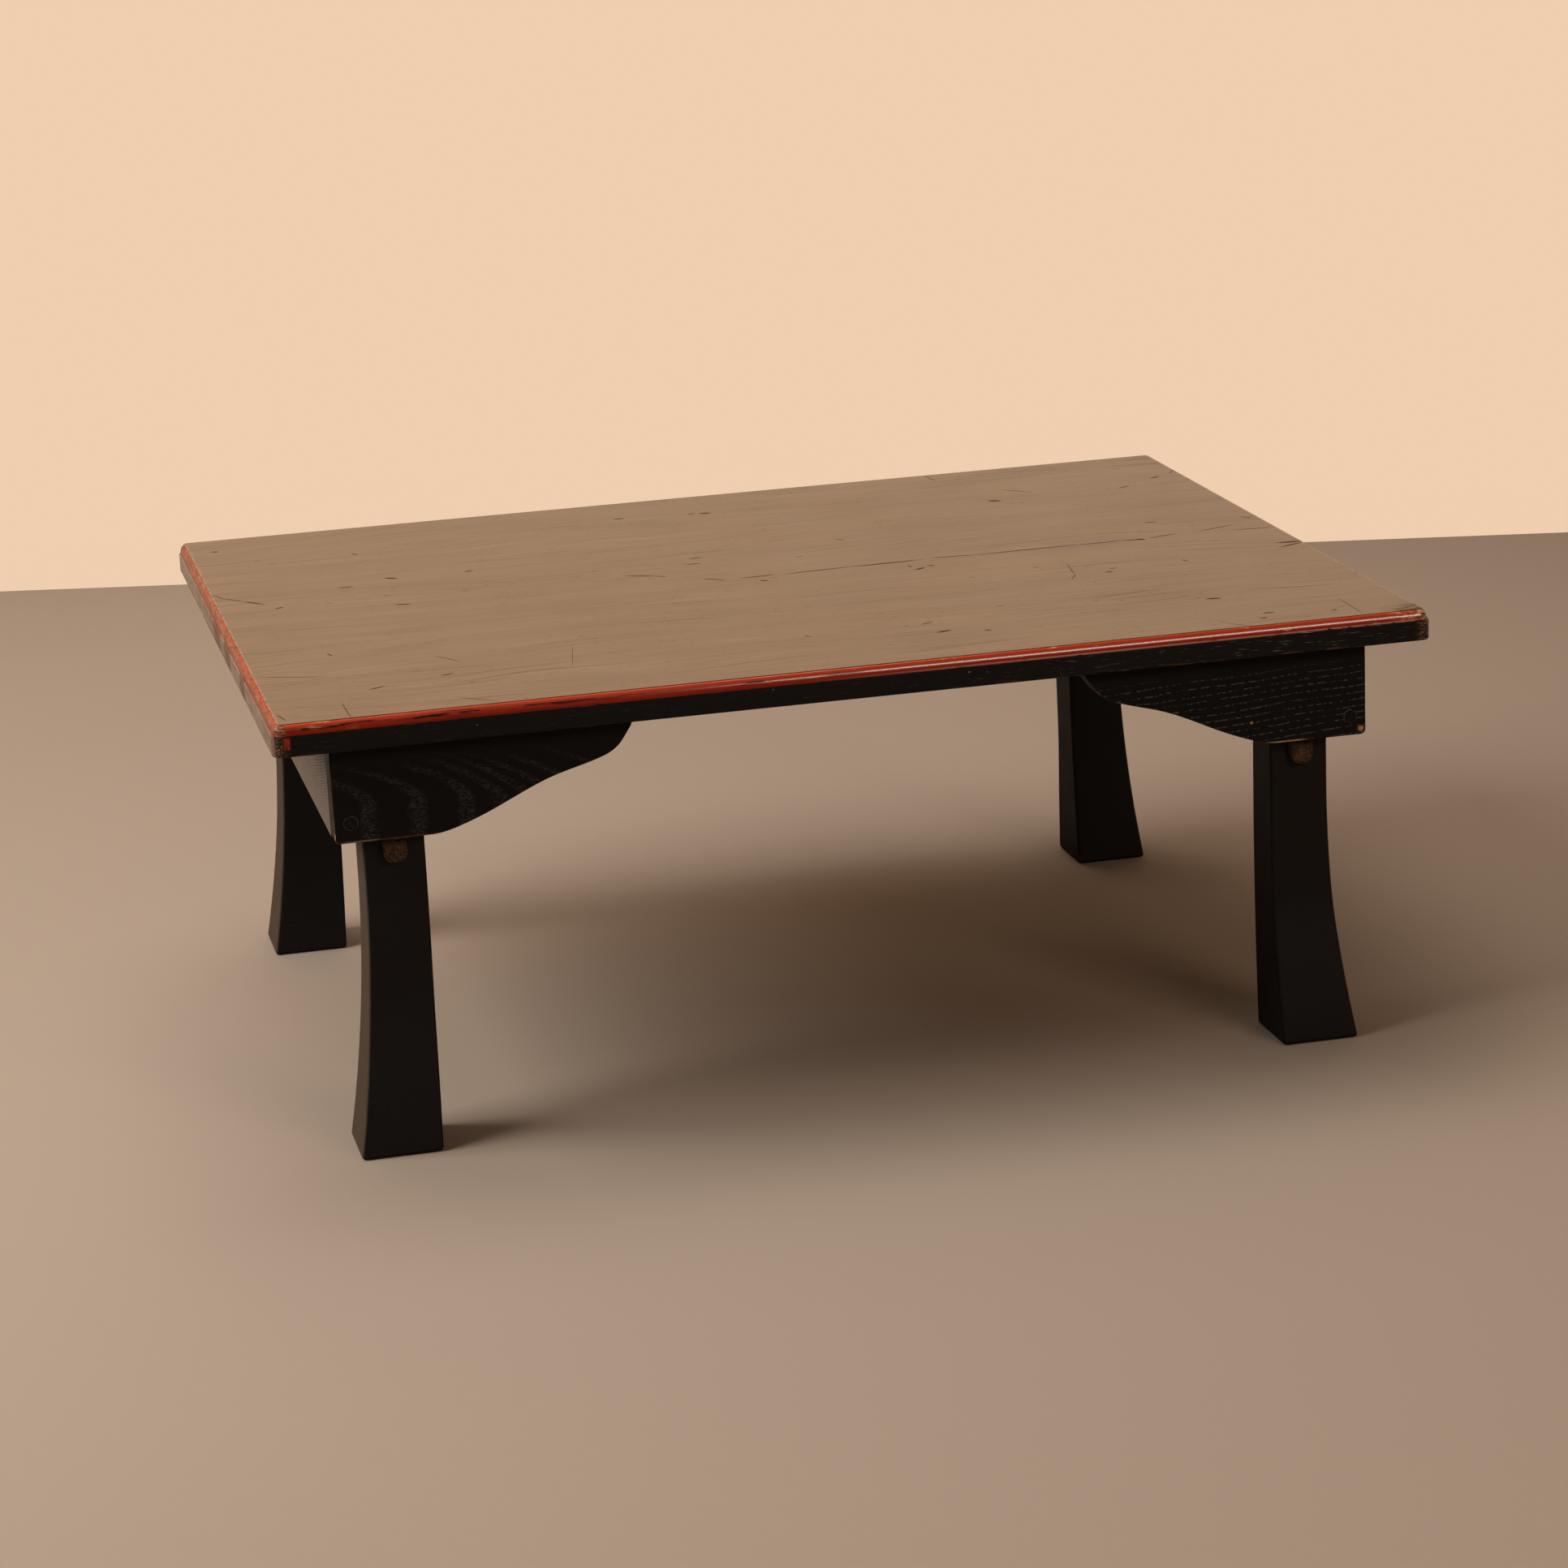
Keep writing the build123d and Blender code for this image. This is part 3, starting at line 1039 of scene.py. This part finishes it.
def dress(node: str, material: bpy.types.Material) -> None:
    """Give a node its material.

    Args:
        node: name of the node.
        material: the finish to put on all of it.
    """
    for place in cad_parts[node].material_slots:
        place.material = material
    log.info("%s: %s", node, material.name)


def deselect() -> None:
    """Leave nothing selected and nothing active."""
    bpy.ops.object.select_all(action="DESELECT")
    bpy.context.view_layer.objects.active = None


def pick(piece: bpy.types.Object, kind: str, test: Callable[[Any], bool]) -> None:
    """Select edges or faces of the piece in edit mode.

    Args:
        piece: the piece that is being edited.
        kind: edges or faces.
        test: says whether an element is wanted.
    """
    modes = {"edges": (False, True, False), "faces": (False, False, True)}
    bpy.context.tool_settings.mesh_select_mode = modes[kind]
    bpy.ops.mesh.select_all(action="DESELECT")
    mesh = bmesh.from_edit_mesh(piece.data)
    for element in filter(test, getattr(mesh, kind)):
        element.select_set(True)
    bmesh.update_edit_mesh(piece.data)


@dataclass
class Tabletop:
    """Two boards, glued edge to edge."""

    boards: tuple[str, ...] = ("top_board_front", "top_board_back")
    finish: TopLacquer = field(default_factory=TopLacquer)

    def dress(self) -> None:
        """Put the lacquer on both boards."""
        lacquer = self.finish.material()
        for board in self.boards:
            dress(board, lacquer)


@dataclass
class Underframe:
    """Four ogee brackets and two end rails, held by wedged pins."""

    flame: tuple[str, ...] = ("bracket_front_left", "bracket_back_right")
    rows: tuple[str, ...] = ("bracket_front_right", "bracket_back_left")
    rails: tuple[str, ...] = ("end_rail_left", "end_rail_right")
    pins: tuple[str, ...] = ("rail_pins_left", "rail_pins_right")
    wedges: tuple[str, ...] = ("pin_wedges_left", "pin_wedges_right")

    def dress(self) -> None:
        """Put each finish on its pieces."""
        lacquer = BracketLacquer()
        finishes = (
            (self.flame, lacquer.material(Figure.FLAME)),
            (self.rows, lacquer.material(Figure.ROWS)),
            (self.rails, RailLacquer().material()),
            (self.pins, PinLacquer().material()),
            (self.wedges, WEDGE_WOOD.material()),
        )
        for nodes, material in finishes:
            for node in nodes:
                dress(node, material)


@dataclass
class CrossRod:
    """A whittled rod, flat on top and round underneath.

    Lengths are in metres. rings are the insets that dome an end. The cuts across the
    rod are a facet apart and keep clear of its ends by shares of a facet.
    """

    side: str
    bare: bpy.types.Material
    lower_round: float = 6.5 * MM
    upper_round: float = 2.4 * MM
    rim: float = 1.1 * MM
    rings: tuple[float, ...] = (1.6 * MM, 1.8 * MM)
    facet: float = 42 * MM
    clear: tuple[float, float] = (0.3, 0.2)
    slim: Triple = (0.975, 0.9995, 0.975)
    uneven: float = 0.16 * MM
    seed: int = 7
    smooth_angle: float = math.radians(24)
    close: float = 1e-6

    def build(self) -> None:
        """Cut the rod from a square stick, in place of its plain node."""
        node = f"cross_rod_{self.side}"
        low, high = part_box(node)
        deselect()
        bpy.ops.mesh.primitive_cube_add(size=1, location=(low + high) / 2)
        rod = bpy.context.active_object
        rod.name = rod.data.name = f"whittled_rod_{self.side}"
        rod.scale = high - low
        bpy.ops.object.transform_apply(location=True, rotation=True, scale=True)
        bpy.ops.object.mode_set(mode="EDIT")
        self.round_edges(rod, low.z, self.lower_round, 4)
        self.round_edges(rod, high.z, self.upper_round, 2)
        for end in (low.y, high.y):
            self.soften_end(rod, end)
        self.whittle(low, high)
        bpy.ops.object.mode_set(mode="OBJECT")
        bpy.ops.object.shade_smooth_by_angle(angle=self.smooth_angle)
        rod.data.materials.append(self.bare)
        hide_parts(node)
        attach(rod, f"{self.side}_legs")
        log.info("%s: %d faces", rod.name, len(rod.data.polygons))

    def round_edges(
        self, rod: bpy.types.Object, level: float, radius: float, steps: int
    ) -> None:
        """Round the two long edges at one level.

        Args:
            rod: the rod in edit mode.
            level: height of the edges.
            radius: radius of the rounding.
            steps: number of faces across it.
        """

        def long_edge(edge: Any) -> bool:
            """Tell whether the edge runs along the rod at this level.

            Args:
                edge: the edge.

            Returns:
                Whether it does.
            """
            a, b = (vertex.co for vertex in edge.verts)
            flat = abs(a.z - level) < self.close and abs(b.z - level) < self.close
            return flat and abs(a.y - b.y) > self.facet

        pick(rod, "edges", long_edge)
        bpy.ops.mesh.bevel(offset=radius, segments=steps, affect="EDGES")

    def soften_end(self, rod: bpy.types.Object, end: float) -> None:
        """Round the rim of one end and dome the cut a little.

        Args:
            rod: the rod in edit mode.
            end: place of the end along Y.
        """

        def on_end(face: Any) -> bool:
            """Tell whether the face is the end."""
            return abs(face.calc_center_median().y - end) < self.close

        def on_rim(edge: Any) -> bool:
            """Tell whether the edge goes round the end."""
            return all(abs(vertex.co.y - end) < self.close for vertex in edge.verts)

        pick(rod, "edges", on_rim)
        bpy.ops.mesh.bevel(offset=self.rim, segments=2, affect="EDGES")
        pick(rod, "faces", on_end)
        for ring in self.rings:
            bpy.ops.mesh.inset(thickness=ring)

    def whittle(self, low: Vector, high: Vector) -> None:
        """Cut the rod in edit mode into stretches and push their corners about.

        Args:
            low: its lowest corner.
            high: its highest corner.
        """
        first, last = self.clear
        place = low.y + self.facet * first
        while place < high.y - self.facet * last:
            bpy.ops.mesh.select_all(action="SELECT")
            bpy.ops.mesh.bisect(plane_co=(0, place, 0), plane_no=(0, 1, 0))
            place += self.facet
        bpy.ops.mesh.select_all(action="SELECT")
        bpy.ops.transform.resize(value=self.slim, center_override=(low + high) / 2)
        bpy.ops.transform.vertex_random(
            offset=self.uneven, uniform=0.3, normal=0.0, seed=self.seed
        )


@dataclass
class LegPair:
    """Two legs, the rod through them and their hinge pins, at one end."""

    side: str
    lacquer: bpy.types.Material
    bare: bpy.types.Material
    hinge: bpy.types.Material

    def build(self) -> None:
        """Make the rod."""
        CrossRod(self.side, self.bare).build()

    def dress(self) -> None:
        """Put the finishes on the legs and the hinge pins."""
        for row in ("front", "back"):
            dress(f"leg_{row}_{self.side}", self.lacquer)
        dress(f"hinge_pins_{self.side}", self.hinge)


# ---- studio and camera -------------------------------------------------------


@dataclass(frozen=True)
class Lamp:
    """A soft rectangular lamp, with lengths in metres and its power in watts."""

    name: str
    at: Triple
    width: float
    depth: float
    power: float
    colour: Colour = (1.0, 1.0, 1.0)
    target: Triple = (0.0, 0.0, 0.2)

    def build(self) -> None:
        """Add the lamp and turn it to its target."""
        data = bpy.data.lights.new(self.name, "AREA")
        data.shape = "RECTANGLE"
        data.size, data.size_y = self.width, self.depth
        data.energy = self.power
        data.color = self.colour
        lamp = bpy.data.objects.new(self.name, data)
        bpy.context.scene.collection.objects.link(lamp)
        lamp.location = self.at
        aim = Vector(self.target) - Vector(self.at)
        lamp.rotation_mode = "QUATERNION"
        lamp.rotation_quaternion = aim.to_track_quat("-Z", "Y")
        log.info("lamp %s", self.name)


@dataclass
class Studio:
    """Plain floor, plain backdrop and soft lamps, with lengths in metres.

    The floor lies below the feet by a hair, so that their soles stay clear of it.
    """

    floor_colour: Colour = (0.30, 0.228, 0.17)
    floor_dimmed: float = 0.7
    wall_colour: Colour = (0.86, 0.62, 0.43)
    wall_at: tuple[float, float] = (0.332, 1.361)
    wall_turn: float = -0.263
    width: float = 12.0
    below: float = 0.3 * MM
    sky_colour: Colour = (1.0, 0.88, 0.75)
    sky_strength: float = 0.08
    lamps: tuple[Lamp, ...] = (
        Lamp("key", (-2.1, -0.25, 1.9), 1.6, 1.6, 87),
        Lamp("overhead", (-0.3, 0.5, 2.6), 1.8, 1.4, 32),
        Lamp("strip", (0.95, -2.45, 1.33), 1.0, 0.4, 18, (1.0, 0.80, 0.66)),
    )

    def build(self) -> None:
        """Set up the floor, the backdrop, the lamps and the dim surround."""
        self.plane("floor", (0, 0, -self.below), (0, 0, 0), self.floor())
        turn = (math.pi / 2, 0, self.wall_turn)
        self.plane("backdrop", (*self.wall_at, 0), turn, self.wall())
        for lamp in self.lamps:
            lamp.build()
        world = bpy.data.worlds.new("surround")
        world.use_nodes = True
        sky = world.node_tree.nodes["Background"]
        sky.inputs["Color"].default_value = (*self.sky_colour, 1)
        sky.inputs["Strength"].default_value = self.sky_strength
        bpy.context.scene.world = world

    def floor(self) -> bpy.types.Material:
        """Make the plain floor, which is darker to everything but the eye.

        Returns:
            The material.
        """
        b = Bench("studio_floor")
        dimmed = tuple(part * self.floor_dimmed for part in self.floor_colour)
        pale = b.coat(self.floor_colour, 0.9, gloss=0.1)
        dark = b.coat(dimmed, 0.9, gloss=0.1)
        seen = b.node("ShaderNodeLightPath", output="Is Camera Ray")
        return self.one_sided(b, b.over(seen, dark, pale))

    def wall(self) -> bpy.types.Material:
        """Make the backdrop, which shows its own colour to the eye and in gloss.

        Returns:
            The material.
        """
        b = Bench("studio_backdrop")
        plain = b.coat(self.wall_colour, 0.95, gloss=0.05)
        glow = b.node("ShaderNodeEmission", None, {0: (*self.wall_colour, 1), 1: 1.0})
        seen = b.node("ShaderNodeLightPath", output="Is Camera Ray")
        gloss = b.node("ShaderNodeLightPath", output="Is Glossy Ray")
        return self.one_sided(b, b.over(seen.most(gloss), plain, glow))

    def one_sided(self, b: Bench, shader: Wire) -> bpy.types.Material:
        """Finish a sheet that is clear from behind, so that it never hides the table.

        Args:
            b: bench of the sheet's material.
            shader: what its front shows.

        Returns:
            The material.
        """
        behind = b.node("ShaderNodeNewGeometry", output="Backfacing")
        clear = b.node("ShaderNodeBsdfTransparent")
        return b.finish(b.over(behind, shader, clear))

    def plane(
        self, name: str, middle: Triple, turn: Triple, material: bpy.types.Material
    ) -> None:
        """Add one flat sheet of the studio.

        Args:
            name: name of the sheet.
            middle: its middle in metres.
            turn: its turn about X, Y and Z.
            material: its finish.
        """
        deselect()
        bpy.ops.mesh.primitive_plane_add(
            size=self.width, location=middle, rotation=turn
        )
        sheet = bpy.context.active_object
        sheet.name = name
        sheet.data.materials.append(material)
        log.info("%s", name)


@dataclass
class Viewpoint:
    """The camera, with its place in metres and its sensor and lens in mm."""

    place: Triple = (-0.6312, -2.7755, 0.9403)
    yaw: float = -0.226205
    pitch: float = -0.271224
    roll: float = 0.045685
    sensor: float = 36.0
    lens: float = 95.54

    def build(self) -> None:
        """Add the camera and make it the scene's own."""
        data = bpy.data.cameras.new("camera")
        data.sensor_width = self.sensor
        data.lens = self.lens
        camera = bpy.data.objects.new("camera", data)
        bpy.context.scene.collection.objects.link(camera)
        turn = (
            Matrix.Rotation(self.yaw, 4, "Z")
            @ Matrix.Rotation(self.pitch, 4, "X")
            @ Matrix.Rotation(self.roll, 4, "Y")
            @ Matrix.Rotation(math.pi / 2, 4, "X")
        )
        camera.matrix_world = Matrix.Translation(self.place) @ turn
        bpy.context.scene.camera = camera


def main() -> None:
    """Build and dress the table, then the studio and the camera."""
    logging.basicConfig(level=logging.INFO, format="%(name)s: %(message)s")
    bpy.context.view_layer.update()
    Tabletop().dress()
    Underframe().dress()
    lacquer = LegLacquer().material()
    bare = BARE_WOOD.material()
    hinge = HINGE_WOOD.material()
    for side in ("left", "right"):
        pair = LegPair(side, lacquer, bare, hinge)
        pair.build()
        pair.dress()
    Studio().build()
    Viewpoint().build()
    bpy.context.scene.view_settings.view_transform = "Standard"


if __name__ == "__main__":
    main()
